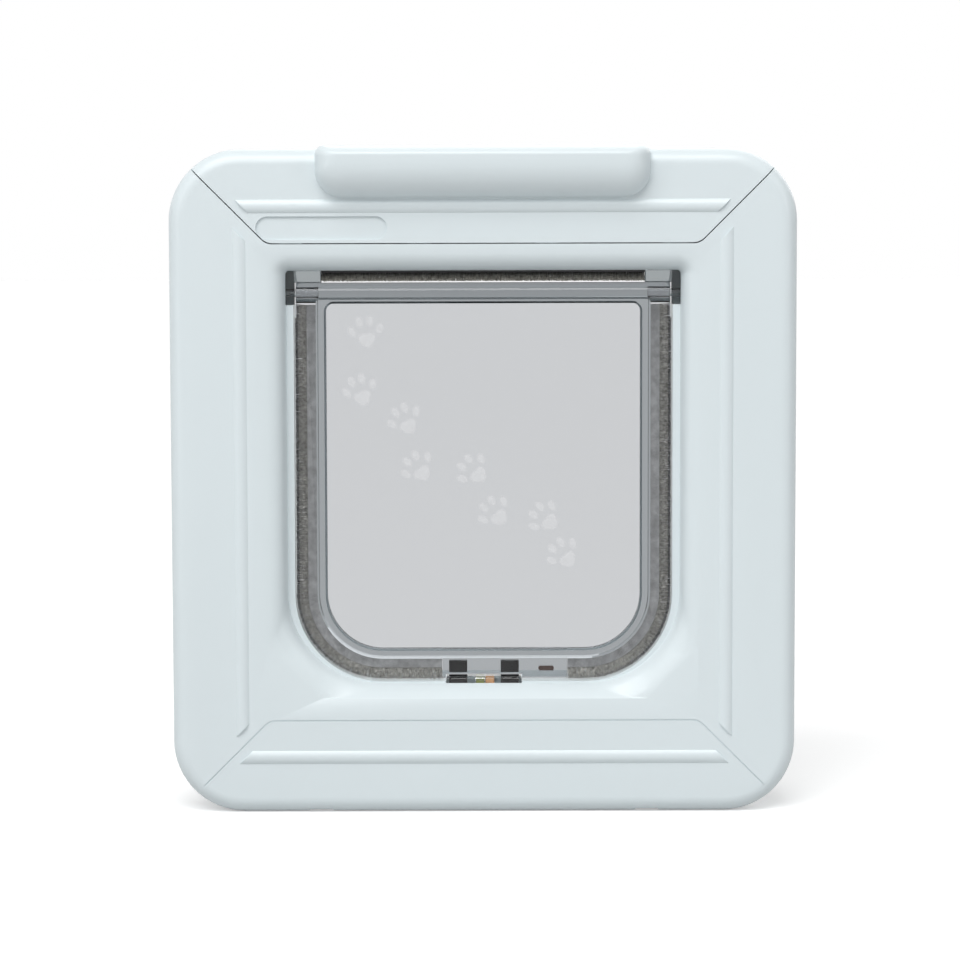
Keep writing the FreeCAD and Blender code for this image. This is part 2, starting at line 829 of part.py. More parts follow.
def clamp_screw(x, z):
    """Screw with a flat round head and a six-sided socket."""
    y_head = y_back - cap_recess - screw_head_height
    shank = rod(x, z, screw_radius, y_face + wall + screw_tip_gap, y_head)
    head = rod(x, z, screw_head_radius, y_head, y_head + screw_head_height)
    around = [math.radians(60 * i) for i in range(6)]
    drive = prism(
        [(x + drive_radius * math.cos(a), z + drive_radius * math.sin(a), 0) for a in around],
        y_head + screw_head_height - drive_depth, y_head + screw_head_height + OVER)
    return shank.fuse(head).cut(drive).removeSplitter()


def screw_cap(x, z):
    """Push-in cap: a disc with a ring that stands on the recess's floor."""
    disc = rod(x, z, cap_radius, y_back - cap_recess, y_back)
    hollow = rod(x, z, cap_radius - cap_ring, y_back - cap_recess - OVER, y_back - cap_thickness)
    return disc.cut(hollow)


nodes = {
    "front_frame": front_frame(),
    "top_cover": top_cover(),
    "hinge_clip_right": hinge_clip(),
    "hinge_clip_left": mirrored(hinge_clip()),
    "pivot_pin_right": pivot_pin(),
    "pivot_pin_left": mirrored(pivot_pin()),
    "flap": flap(),
    "flap_brush_backing_left": flap_brush_backing(-1),
    "flap_brush_backing_right": flap_brush_backing(1),
    "flap_brush_pile_left": flap_brush_pile(-1),
    "flap_brush_pile_right": flap_brush_pile(1),
    "flap_magnet_left": flap_magnet_box(-1, 0.0),
    "flap_magnet_right": flap_magnet_box(1, 0.0),
    "top_brush_backing": top_brush_backing_strip(),
    "top_brush_pile": top_brush_pile_strip(),
    "lock_carrier": lock_carrier(),
    "sill_magnet_left": sill_magnet_box(-1, 0.0),
    "sill_magnet_right": sill_magnet_box(1, 0.0),
    "entry_latch": latch("entry"),
    "exit_latch": latch("exit"),
    "rear_frame": rear_frame(),
    "rear_sleeve": rear_sleeve(),
    "clamp_screws": Part.makeCompound([clamp_screw(x, z) for x, z in screw_places()]),
    "screw_caps": Part.makeCompound([screw_cap(x, z) for x, z in screw_places()]),
}

for name, shape in nodes.items():
    shape.exportStep("parts/" + name + ".step")
    print(name, len(shape.Solids), shape.isValid(), round(shape.Volume, 1))
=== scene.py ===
import json
import math

import bmesh
import bpy
import numpy as np
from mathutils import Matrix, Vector
from bpy.props import FloatProperty, FloatVectorProperty, IntProperty, PointerProperty

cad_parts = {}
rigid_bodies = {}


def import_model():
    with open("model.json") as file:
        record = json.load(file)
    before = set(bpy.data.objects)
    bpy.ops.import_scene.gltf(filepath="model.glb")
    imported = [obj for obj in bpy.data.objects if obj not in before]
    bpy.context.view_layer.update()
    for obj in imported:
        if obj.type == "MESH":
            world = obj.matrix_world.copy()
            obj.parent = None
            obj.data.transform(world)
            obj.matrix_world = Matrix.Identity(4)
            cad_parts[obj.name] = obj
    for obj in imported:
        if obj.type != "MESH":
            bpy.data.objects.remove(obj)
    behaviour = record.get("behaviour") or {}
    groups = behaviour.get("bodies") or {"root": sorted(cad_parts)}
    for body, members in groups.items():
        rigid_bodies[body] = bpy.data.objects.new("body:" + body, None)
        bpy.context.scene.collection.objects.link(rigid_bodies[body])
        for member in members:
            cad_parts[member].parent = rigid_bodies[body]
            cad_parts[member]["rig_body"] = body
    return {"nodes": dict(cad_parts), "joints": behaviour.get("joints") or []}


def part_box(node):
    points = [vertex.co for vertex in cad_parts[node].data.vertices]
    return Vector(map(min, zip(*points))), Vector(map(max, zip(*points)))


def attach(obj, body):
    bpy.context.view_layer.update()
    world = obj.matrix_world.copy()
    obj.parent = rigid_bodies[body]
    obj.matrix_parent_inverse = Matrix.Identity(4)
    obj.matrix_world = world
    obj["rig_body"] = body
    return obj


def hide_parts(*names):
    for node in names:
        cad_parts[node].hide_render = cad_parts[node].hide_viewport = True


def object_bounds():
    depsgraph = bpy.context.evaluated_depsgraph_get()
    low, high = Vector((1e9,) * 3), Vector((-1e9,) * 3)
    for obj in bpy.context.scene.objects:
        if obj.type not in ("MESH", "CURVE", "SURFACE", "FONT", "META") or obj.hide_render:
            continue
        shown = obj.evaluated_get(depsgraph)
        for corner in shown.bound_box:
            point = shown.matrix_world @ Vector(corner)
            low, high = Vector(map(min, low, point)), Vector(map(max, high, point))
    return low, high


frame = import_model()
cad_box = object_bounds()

bl_info = {
    "name": "Cat flap",
    "version": (1, 0, 0),
    "blender": (4, 5, 0),
    "location": "View3D > Sidebar > Cat flap",
    "description": "Builds the finished surfaces of a framed cat flap",
    "category": "Object",
}

MM = 0.001
HINGE = next(j for j in frame["joints"] if j["name"] == "flap_swing")["pos_m"]

# Rounding of the edges, and the angle between two faces from which an edge counts as one.
FRAME_BEVEL = 0.25 * MM
FLAP_BEVEL = 0.2 * MM
SMALL_BEVEL = 0.15 * MM
EDGE_ANGLE = math.radians(32)

# The magnets grow by this much, so that no gap round them shows through the clear plastic.
MAGNET_RISE = 0.06 * MM

# Middle of each paw print across and up in millimetres, and its turn in degrees.
PAW_TRAIL = np.array([
    (-44, 180, 8), (-46, 158, 20), (-29, 147, 28), (-24, 129, 38),
    (-3, 128, 48), (5, 112, 42), (24, 110, 50), (31, 96, 40),
], dtype=float)

# Seeds of the random draws, for where the bristles stand and for how they stray.
SIDE_SEEDS = {"left": 11, "right": 12}
TOP_SEED = 13
SIDE_STRAY_SEED = 21
TOP_STRAY_SEED = 22


class FinishSettings(bpy.types.PropertyGroup):
    """Colours of the finished surfaces."""

    white: FloatVectorProperty(
        name="White", description="Colour of the moulded frames", subtype="COLOR",
        default=(0.705, 0.776, 0.80), min=0, max=1)
    clear_tint: FloatVectorProperty(
        name="Clear tint", description="Tint of the clear mouldings", subtype="COLOR",
        default=(0.80, 0.80, 0.815), min=0, max=1)
    clear_density: FloatProperty(
        name="Clear density", description="How much thick clear plastic darkens, per metre",
        default=148.0)
    bristle_dark: FloatVectorProperty(
        name="Bristle, dark", description="Darker colour of the bristles", subtype="COLOR",
        default=(0.22, 0.21, 0.17), min=0, max=1)
    bristle_light: FloatVectorProperty(
        name="Bristle, light", description="Lighter colour of the bristles", subtype="COLOR",
        default=(0.95, 0.92, 0.83), min=0, max=1)
    # Painted shade: the bristles' shade attribute darkens them towards this colour, for the shadow
    # in the gap round the flap; the top strip is darker towards its roots too.
    bristle_shade: FloatVectorProperty(
        name="Bristle, painted shade", description="Colour that the painted shade on a bristle darkens to", subtype="COLOR",
        default=(0.004, 0.004, 0.003), min=0, max=1)
    entry_colour: FloatVectorProperty(
        name="Entry latch", description="Colour of the entry latch", subtype="COLOR",
        default=(0.30, 0.33, 0.04), min=0, max=1)
    exit_colour: FloatVectorProperty(
        name="Exit latch", description="Colour of the exit latch", subtype="COLOR",
        default=(0.40, 0.20, 0.07), min=0, max=1)


class BrushSettings(bpy.types.PropertyGroup):
    """Sizes of the brush seals."""

    corner_radius: FloatProperty(
        name="Corner radius", description="Radius of the bristles' roots at the flap's corners",
        default=28.1 * MM, unit="LENGTH")
    bristle_width: FloatProperty(
        name="Bristle width", description="Width of one bristle", default=0.16 * MM, unit="LENGTH")
    spacing: FloatProperty(
        name="Spacing", description="Distance between bristles along the strip",
        default=0.26 * MM, unit="LENGTH")
    top_reach: FloatProperty(
        name="Top reach", description="How far the side strips run on above the solid ones",
        default=4.0 * MM, unit="LENGTH")
    rows: IntProperty(
        name="Rows", description="Rows of bristles across a side strip", default=7, min=1,
        subtype="UNSIGNED")
    top_rows: IntProperty(
        name="Rows, top", description="Rows of bristles across the top strip", default=11, min=1,
        subtype="UNSIGNED")
    lean: FloatProperty(
        name="Lean", description="How far a tip strays from straight, as a share of its length",
        default=0.10, min=0, max=1, subtype="FACTOR")


class PawSettings(bpy.types.PropertyGroup):
    """Sizes of the paw prints on the window."""

    pad_width: FloatProperty(
        name="Pad width", description="Width of a print's pad", default=8.6 * MM, unit="LENGTH")
    relief: FloatProperty(
        name="Relief", description="How far a print stands proud", default=0.10 * MM, unit="LENGTH")


class SlotShadeSettings(bpy.types.PropertyGroup):
    """Place and sizes of the dark fill in the lip's slot, which is painted shade for the slot's
    dark inside.
    """

    across: FloatProperty(
        name="Across", description="Middle of the plug, across", default=23.6 * MM,
        unit="LENGTH")
    rise: FloatProperty(
        name="Rise", description="Middle of the plug above the flap's lowest edge",
        default=3.65 * MM, unit="LENGTH")
    radius: FloatProperty(
        name="Radius", description="Radius of its round ends", default=0.85 * MM, unit="LENGTH")
    straight: FloatProperty(
        name="Straight", description="Half the length between its round ends",
        default=2.15 * MM, unit="LENGTH")
    front: FloatProperty(
        name="Front", description="How far its front lies before the hinge's axis",
        default=2.0 * MM, unit="LENGTH")
    back: FloatProperty(
        name="Back", description="How far its back lies before the hinge's axis",
        default=0.6 * MM, unit="LENGTH")


class ScrewSettings(bpy.types.PropertyGroup):
    """Sizes of the clamp screws."""

    head_radius: FloatProperty(
        name="Head radius", description="Radius of the head", default=4.0 * MM, unit="LENGTH")
    head_height: FloatProperty(
        name="Head height", description="Height of the head", default=3.0 * MM, unit="LENGTH")
    shank_radius: FloatProperty(
        name="Shank radius", description="Radius over the thread", default=2.0 * MM,
        unit="LENGTH")
    pitch: FloatProperty(
        name="Pitch", description="Distance between two turns", default=1.1 * MM, unit="LENGTH")
    thread_depth: FloatProperty(
        name="Thread depth", description="Depth of the thread", default=0.45 * MM, unit="LENGTH")
    plain_length: FloatProperty(
        name="Plain length", description="Length without a thread under the head",
        default=14 * MM, unit="LENGTH")


class StageSettings(bpy.types.PropertyGroup):
    """Camera and light."""

    distance: FloatProperty(
        name="Distance", description="From the camera to its target", default=1.30, unit="LENGTH")
    elevation: FloatProperty(
        name="Elevation", description="Height angle of the camera", default=math.radians(5.2),
        unit="ROTATION")
    target_x: FloatProperty(
        name="Target across", description="Where the camera aims, across", default=-1.0 * MM,
        unit="LENGTH")
    target_z: FloatProperty(
        name="Target height", description="Where the camera aims, up", default=127.1 * MM,
        unit="LENGTH")
    lens: FloatProperty(
        name="Lens", description="Focal length in millimetres", default=131.0, unit="CAMERA")
    roll: FloatProperty(
        name="Roll", description="Roll of the camera", default=math.radians(0.15), unit="ROTATION")


SETTING_GROUPS = {
    "flap_finish": FinishSettings,
    "flap_brush": BrushSettings,
    "flap_paws": PawSettings,
    "flap_plug": SlotShadeSettings,
    "flap_screws": ScrewSettings,
    "flap_stage": StageSettings,
}


def settings(name):
    """The scene's property group of that name."""
    return getattr(bpy.context.scene, name)


def new_object(name, mesh):
    """Object at the origin that holds the mesh."""
    piece = bpy.data.objects.new(name, mesh)
    bpy.context.scene.collection.objects.link(piece)
    return piece


def mesh_from_arrays(name, points, faces):
    """Mesh from an array of points and an array of faces that all have as many corners."""
    mesh = bpy.data.meshes.new(name)
    count, corners = faces.shape
    mesh.vertices.add(len(points))
    mesh.vertices.foreach_set("co", np.ascontiguousarray(points, dtype=np.float32).ravel())
    mesh.loops.add(count * corners)
    mesh.loops.foreach_set("vertex_index", faces.astype(np.int32).ravel())
    mesh.polygons.add(count)
    mesh.polygons.foreach_set("loop_start", np.arange(count, dtype=np.int32) * corners)
    mesh.polygons.foreach_set("loop_total", np.full(count, corners, dtype=np.int32))
    mesh.update(calc_edges=True)
    mesh.validate()
    return mesh


def set_material(piece, material):
    """Give a piece one material in place of those that it has."""
    piece.data.materials.clear()
    piece.data.materials.append(material)


def mark_sharp(mesh, angle):
    """Smooth faces, with an edge sharp where its two faces meet at the angle or more.

    The angle's cosine is the dot product of the two faces' normals. An edge that doesn't lie
    between two faces is sharp too."""
    edge_of = np.empty(len(mesh.loops), dtype=np.int32)
    corners = np.empty(len(mesh.polygons), dtype=np.int32)
    normals = np.empty(len(mesh.polygons) * 3, dtype=np.float32)
    mesh.loops.foreach_get("edge_index", edge_of)
    mesh.polygons.foreach_get("loop_total", corners)
    mesh.polygons.foreach_get("normal", normals)
    normals = normals.reshape(-1, 3)
    face_of = np.repeat(np.arange(len(corners)), corners)[np.argsort(edge_of, kind="stable")]
    counts = np.bincount(edge_of, minlength=len(mesh.edges))
    double = counts == 2
    first = (np.cumsum(counts) - counts)[double]
    cosine = np.sum(normals[face_of[first]] * normals[face_of[first + 1]], axis=1)
    sharp = np.ones(len(counts), dtype=bool)
    sharp[double] = cosine <= math.cos(angle)
    mesh.shade_smooth()
    mesh.attributes.new("sharp_edge", "BOOLEAN", "EDGE").data.foreach_set("value", sharp)


def finished_copy(node, name, material, bevel=0.0):
    """A CAD node's solid with its triangles merged, smooth curves and slightly rounded edges.

    It hides the node, and rides as the node does."""
    source = frame["nodes"][node]
    work = bmesh.new()
    work.from_mesh(source.data)
    bmesh.ops.remove_doubles(work, verts=work.verts, dist=2e-6)
    bmesh.ops.dissolve_limit(
        work, angle_limit=math.radians(0.4), verts=work.verts, edges=work.edges,
        delimit={"NORMAL"})
    mesh = bpy.data.meshes.new(name)
    work.to_mesh(mesh)
    work.free()
    mark_sharp(mesh, EDGE_ANGLE)
    piece = new_object(name, mesh)
    set_material(piece, material)
    if bevel > 0:
        rounding = piece.modifiers.new("Rounded edges", "BEVEL")
        rounding.width = bevel
        rounding.segments = 2
        rounding.limit_method = "ANGLE"
        rounding.angle_limit = EDGE_ANGLE
        rounding.harden_normals = True
    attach(piece, source["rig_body"])
    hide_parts(node)
    return piece


def grow(mesh, rise):
    """Move each point of a block away from its middle: p + rise * sign(p - middle)."""
    points = np.empty(len(mesh.vertices) * 3, dtype=np.float32)
    mesh.vertices.foreach_get("co", points)
    points = points.reshape(-1, 3)
    middle = (points.min(axis=0) + points.max(axis=0)) / 2
    points += rise * np.sign(points - middle)
    mesh.vertices.foreach_set("co", points.ravel())
    mesh.update()


def raise_top(mesh, rise):
    """Move the points of the highest face up: z + rise where z is the mesh's highest."""
    points = np.empty(len(mesh.vertices) * 3, dtype=np.float32)
    mesh.vertices.foreach_get("co", points)
    points = points.reshape(-1, 3)
    top = points[:, 2] > points[:, 2].max() - 0.01 * MM
    points[:, 2] += np.where(top, rise, 0.0)
    mesh.vertices.foreach_set("co", points.ravel())
    mesh.update()


def group_socket(group, name, kind, side, default=None):
    """Add a socket to a shader group, on its INPUT or OUTPUT side."""
    socket = group.interface.new_socket(name=name, in_out=side, socket_type=kind)
    if default is not None:
        socket.default_value = default
    return socket


def moulded_surface_group():
    """Shader group: fine uneven gloss and a very shallow texture of a moulded surface."""
    name = "Moulded surface"
    if name in bpy.data.node_groups:
        return bpy.data.node_groups[name]
    group = bpy.data.node_groups.new(name, "ShaderNodeTree")
    group_socket(group, "Roughness", "NodeSocketFloat", "INPUT", 0.35)
    group_socket(group, "Unevenness", "NodeSocketFloat", "INPUT", 0.08)
    group_socket(group, "Grain height", "NodeSocketFloat", "INPUT", 0.02)
    group_socket(group, "Grain scale", "NodeSocketFloat", "INPUT", 1200.0)
    group_socket(group, "Roughness", "NodeSocketFloat", "OUTPUT")
    group_socket(group, "Normal", "NodeSocketVector", "OUTPUT")
    nodes, links = group.nodes, group.links
    enter = nodes.new("NodeGroupInput")
    leave = nodes.new("NodeGroupOutput")
    place = nodes.new("ShaderNodeTexCoord")
    cloud = nodes.new("ShaderNodeTexNoise")
    cloud.inputs["Scale"].default_value = 35.0
    cloud.inputs["Detail"].default_value = 4.0
    links.new(place.outputs["Object"], cloud.inputs["Vector"])
    centred = nodes.new("ShaderNodeMath")
    centred.operation = "SUBTRACT"
    centred.inputs[1].default_value = 0.5
    links.new(cloud.outputs["Fac"], centred.inputs[0])
    scaled = nodes.new("ShaderNodeMath")
    scaled.operation = "MULTIPLY_ADD"
    links.new(centred.outputs[0], scaled.inputs[0])
    links.new(enter.outputs["Unevenness"], scaled.inputs[1])
    links.new(enter.outputs["Roughness"], scaled.inputs[2])
    links.new(scaled.outputs[0], leave.inputs["Roughness"])
    grain = nodes.new("ShaderNodeTexNoise")
    grain.inputs["Detail"].default_value = 2.0
    links.new(enter.outputs["Grain scale"], grain.inputs["Scale"])
    links.new(place.outputs["Object"], grain.inputs["Vector"])
    bump = nodes.new("ShaderNodeBump")
    bump.inputs["Distance"].default_value = 0.1 * MM
    links.new(enter.outputs["Grain height"], bump.inputs["Strength"])
    links.new(grain.outputs["Fac"], bump.inputs["Height"])
    links.new(bump.outputs["Normal"], leave.inputs["Normal"])
    return group


def new_material(name):
    """New material and its Principled shader."""
    material = bpy.data.materials.new(name)
    material.use_nodes = True
    shader = material.node_tree.nodes["Principled BSDF"]
    return material, shader


def add_moulding(material, shader, roughness, unevenness, grain, scale):
    """Give a shader the roughness and normal of the moulded surface group."""
    tree = material.node_tree
    surface = tree.nodes.new("ShaderNodeGroup")
    surface.node_tree = moulded_surface_group()
    surface.inputs["Roughness"].default_value = roughness
    surface.inputs["Unevenness"].default_value = unevenness
    surface.inputs["Grain height"].default_value = grain
    surface.inputs["Grain scale"].default_value = scale
    tree.links.new(surface.outputs["Roughness"], shader.inputs["Roughness"])
    tree.links.new(surface.outputs["Normal"], shader.inputs["Normal"])


def colour_variation(material, shader, dark, light, scale):
    """Base colour that wanders between two colours, by noise in the piece's own space.

    Returns the socket that the colour comes from."""
    tree = material.node_tree
    place = tree.nodes.new("ShaderNodeTexCoord")
    noise = tree.nodes.new("ShaderNodeTexNoise")
    noise.inputs["Scale"].default_value = scale
    noise.inputs["Detail"].default_value = 3.0
    ramp = tree.nodes.new("ShaderNodeValToRGB")
    ramp.color_ramp.elements[0].position = 0.32
    ramp.color_ramp.elements[0].color = (*dark, 1.0)
    ramp.color_ramp.elements[1].position = 0.68
    ramp.color_ramp.elements[1].color = (*light, 1.0)
    tree.links.new(place.outputs["Object"], noise.inputs["Vector"])
    tree.links.new(noise.outputs["Fac"], ramp.inputs["Fac"])
    tree.links.new(ramp.outputs["Color"], shader.inputs["Base Color"])
    return ramp.outputs["Color"]


def white_plastic():
    """Pale blue-green white moulded plastic, satin with a shallow grain."""
    name = "White moulded plastic"
    if name in bpy.data.materials:
        return bpy.data.materials[name]
    material, shader = new_material(name)
    colour = np.array(settings("flap_finish").white[:])
    colour_variation(material, shader, colour * 0.994, colour * 1.006, 9.0)
    shader.inputs["Specular IOR Level"].default_value = 0.42
    shader.inputs["Coat Weight"].default_value = 0.10
    shader.inputs["Coat Roughness"].default_value = 0.10
    add_moulding(material, shader, 0.32, 0.05, 0.035, 1500.0)
    return material


def clear_plastic(name, tint, roughness, density):
    """Clear moulded plastic with a faint tint, which is darker the thicker it is.

    Light for what lies behind passes straight through it."""
    if name in bpy.data.materials:
        return bpy.data.materials[name]
    material, shader = new_material(name)
    tree = material.node_tree
    shader.inputs["Base Color"].default_value = (*tint, 1.0)
    shader.inputs["Transmission Weight"].default_value = 1.0
    shader.inputs["IOR"].default_value = 1.49
    shader.inputs["Specular IOR Level"].default_value = 0.2
    add_moulding(material, shader, roughness, 0.02, 0.01, 300.0)
    seen = tree.nodes.new("ShaderNodeLightPath")
    through = tree.nodes.new("ShaderNodeBsdfTransparent")
    through.inputs["Color"].default_value = (0.96, 0.96, 0.96, 1.0)
    either = tree.nodes.new("ShaderNodeMixShader")
    leave = tree.nodes["Material Output"]
    tree.links.new(seen.outputs["Is Shadow Ray"], either.inputs["Fac"])
    tree.links.new(shader.outputs["BSDF"], either.inputs[1])
    tree.links.new(through.outputs["BSDF"], either.inputs[2])
    tree.links.new(either.outputs["Shader"], leave.inputs["Surface"])
    depth = tree.nodes.new("ShaderNodeVolumeAbsorption")
    depth.inputs["Color"].default_value = (0.0, 0.07, 0.10, 1.0)
    depth.inputs["Density"].default_value = density
    tree.links.new(depth.outputs["Volume"], leave.inputs["Volume"])
    return material


def clip_plastic():
    """The hinge clips' and pins' plastic, clearer than the flap's."""
    density = settings("flap_finish").clear_density * 0.7
    return clear_plastic("Clear clip", (0.88, 0.89, 0.89), 0.06, density)


def bristle_fibre():
    """Fibre of a colour that varies from one bristle to the next and darkens by the shade."""
    name = "Bristle fibre"
    if name in bpy.data.materials:
        return bpy.data.materials[name]
    material, shader = new_material(name)
    finish = settings("flap_finish")
    tree = material.node_tree
    varied = colour_variation(
        material, shader, finish.bristle_dark[:], finish.bristle_light[:], 900.0)
    shade = tree.nodes.new("ShaderNodeAttribute")
    shade.attribute_name = "shade"
    darker = tree.nodes.new("ShaderNodeMix")
    darker.data_type = "RGBA"
    darker.inputs["B"].default_value = (*finish.bristle_shade[:], 1.0)
    tree.links.new(shade.outputs["Fac"], darker.inputs["Factor"])
    tree.links.new(varied, darker.inputs["A"])
    tree.links.new(darker.outputs["Result"], shader.inputs["Base Color"])
    shader.inputs["Roughness"].default_value = 0.6
    shader.inputs["Sheen Weight"].default_value = 0.35
    shader.inputs["Sheen Roughness"].default_value = 0.4
    return material


def strip_plastic(name, dark, light):
    """Woven backing that the bristles stand in, in a grey between dark and light."""
    if name in bpy.data.materials:
        return bpy.data.materials[name]
    material, shader = new_material(name)
    colour_variation(material, shader, (dark,) * 3, (light,) * 3, 300.0)
    add_moulding(material, shader, 0.55, 0.1, 0.2, 2500.0)
    return material


def magnet_coat():
    """Near-black coating with hardly any shine."""
    name = "Magnet coating"
    if name in bpy.data.materials:
        return bpy.data.materials[name]
    material, shader = new_material(name)
    colour_variation(material, shader, (0.004, 0.004, 0.005), (0.012, 0.012, 0.013), 700.0)
    shader.inputs["Specular IOR Level"].default_value = 0.03
    add_moulding(material, shader, 0.38, 0.12, 0.15, 1800.0)
    return material


def bright_steel():
    """Zinc-plated steel of the screws, slightly uneven in tone and gloss."""
    name = "Zinc-plated steel"
    if name in bpy.data.materials:
        return bpy.data.materials[name]
    material, shader = new_material(name)
    colour_variation(material, shader, (0.50, 0.50, 0.49), (0.66, 0.66, 0.66), 260.0)
    shader.inputs["Metallic"].default_value = 1.0
    add_moulding(material, shader, 0.28, 0.12, 0.06, 3000.0)
    return material


def tab_plastic(name, colour):
    """Glossy coloured plastic that wanders a tenth about its colour."""
    if name in bpy.data.materials:
        return bpy.data.materials[name]
    material, shader = new_material(name)
    base = np.array(colour)
    colour_variation(material, shader, base * 0.9, np.minimum(base * 1.1, 1.0), 500.0)
    add_moulding(material, shader, 0.3, 0.08, 0.05, 2000.0)
    return material


def paw_frost():
    """Faint matt print, which lets most of what is behind it through."""
    name = "Frosted print"
    if name in bpy.data.materials:
        return bpy.data.materials[name]
    material, shader = new_material(name)
    shader.inputs["Base Color"].default_value = (0.95, 0.95, 0.96, 1.0)
    shader.inputs["Alpha"].default_value = 0.20
    add_moulding(material, shader, 0.6, 0.1, 0.1, 1500.0)
    return material


def strip_path(left):
    """Roots of the bristles on one side of the flap, and the way each bristle points.

    The path is a straight run along the bottom, a quarter circle round the corner and a
    straight run up the side. It gives points and outward directions at an even spacing."""
    node = "flap_brush_backing_left" if left else "flap_brush_backing_right"
    low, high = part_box(node)
    brush = settings("flap_brush")
    radius = brush.corner_radius
    side = -1.0 if left else 1.0
    outer = abs(low[0]) if left else high[0]
    inner = abs(high[0]) if left else low[0]
    centre = np.array([side * (outer - radius), low[2] + radius])
    top = high[2] + brush.top_reach
    runs = [abs(centre[0]) - inner, radius * math.pi / 2, top - centre[1]]
    along = np.arange(brush.spacing / 2, sum(runs), brush.spacing)
    angle = np.clip((along - runs[0]) / radius, 0.0, math.pi / 2)
    outward = np.stack([side * np.sin(angle), -np.cos(angle)], axis=1)
    points = centre + outward * radius
    before = np.minimum(along - runs[0], 0.0)
    after = np.maximum(along - runs[0] - runs[1], 0.0)
    points[:, 0] += side * before
    points[:, 1] += after
    return points, outward, (low[1], high[1])


def bristle_mesh(name, roots, ways, lengths, shades, seed):
    """Bristles as three-sided spikes with a bend.

    Each bristle is a triangle carried along a short curve from its root to its tip, where it
    narrows. roots, ways, lengths and shades are arrays with one row for each bristle. shades
    says how dark it is at each of five levels, kept on the points as the attribute shade."""
    brush = settings("flap_brush")
    random = np.random.default_rng(seed)
    count = len(roots)
    levels = np.array([0.0, 0.45, 0.73, 0.80, 1.0])
    widths = np.array([1.0, 0.95, 0.9, 0.85, 0.6]) * brush.bristle_width / 2
    stray = random.normal(0.0, brush.lean, (count, 3))
    stray -= ways * np.sum(stray * ways, axis=1, keepdims=True)
    helper = np.tile(np.array([0.0, 1.0, 0.0]), (count, 1))
    side_a = np.cross(ways, helper)
    side_a /= np.linalg.norm(side_a, axis=1, keepdims=True)
    side_b = np.cross(ways, side_a)
    spin = random.uniform(0, 2 * math.pi, count)
    corners = spin[:, None] + np.arange(3) * 2 * math.pi / 3
    reach = levels[None, :, None] * lengths[:, None, None] * ways[:, None, :]
    bend = (levels ** 2)[None, :, None] * lengths[:, None, None] * stray[:, None, :]
    spine = roots[:, None, :] + reach + bend
    ring = (np.cos(corners)[:, None, :, None] * side_a[:, None, None, :]
            + np.sin(corners)[:, None, :, None] * side_b[:, None, None, :])
    points = spine[:, :, None, :] + ring * widths[None, :, None, None]
    local = []
    for level in range(len(levels) - 1):
        for corner in range(3):
            a = level * 3 + corner
            b = level * 3 + (corner + 1) % 3
            local += [[a, b, b + 3], [a, b + 3, a + 3]]
    last = (len(levels) - 1) * 3
    local += [[0, 2, 1], [last, last + 1, last + 2]]
    local = np.array(local)
    faces = local[None] + (np.arange(count) * len(levels) * 3)[:, None, None]
    mesh = mesh_from_arrays(name, points.reshape(-1, 3), faces.reshape(-1, 3))
    shade = mesh.attributes.new("shade", "FLOAT", "POINT")
    shade.data.foreach_set("value", np.repeat(shades, 3, axis=1).astype(np.float32).ravel())
    return mesh


def slot_shade_mesh():
    """Dark brown fill in the lip's slot, painted shade for the slot's dark inside: a bar of half
    circles and straight sides, run along Y.

    Corner k lies at x + side * straight + radius * cos(angle), z + radius * sin(angle)."""
    fill = settings("flap_plug")
    radius, straight, count = fill.radius, fill.straight, 32
    x, z = fill.across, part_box("flap")[0][2] + fill.rise
    y0, y1 = HINGE[1] - fill.front, HINGE[1] - fill.back
    angle = (np.arange(count) + 0.5) * 2 * math.pi / count
    ring = np.zeros((2, count, 3))
    ring[..., 0] = x + np.sign(np.cos(angle)) * straight + radius * np.cos(angle)
    ring[..., 1] = np.array([y0, y1])[:, None]
    ring[..., 2] = z + radius * np.sin(angle)
    ends = np.array([[x, y0, z], [x, y1, z]])
    points = np.concatenate([ring.reshape(-1, 3), ends])
    k = np.arange(count)
    nxt = (k + 1) % count
    front = np.stack([np.full(count, 2 * count), k, nxt], axis=1)
    back = np.stack([np.full(count, 2 * count + 1), count + nxt, count + k], axis=1)
    sides = np.concatenate([
        np.stack([k, count + k, count + nxt], axis=1), np.stack([k, count + nxt, nxt], axis=1)])
    mesh = mesh_from_arrays("slot_shade_fill", points, np.concatenate([front, back, sides]))
    mark_sharp(mesh, math.radians(40))
    return mesh


def paw_outline(kind, count):
    """Outline of one toe or pad: an ellipse, and for the pad one drawn in at its heel."""
    angle = np.linspace(0, 2 * math.pi, count, endpoint=False)
    x, z = np.cos(angle), np.sin(angle)
    if kind == "toe":
        return np.stack([x * 0.155, z * 0.24], axis=1)
    pull = 1.0 - 0.18 * np.maximum(z, 0.0) - 0.12 * np.cos(3 * angle + math.pi / 2)
    return np.stack([x * 0.38 * pull, z * 0.33 * pull], axis=1)


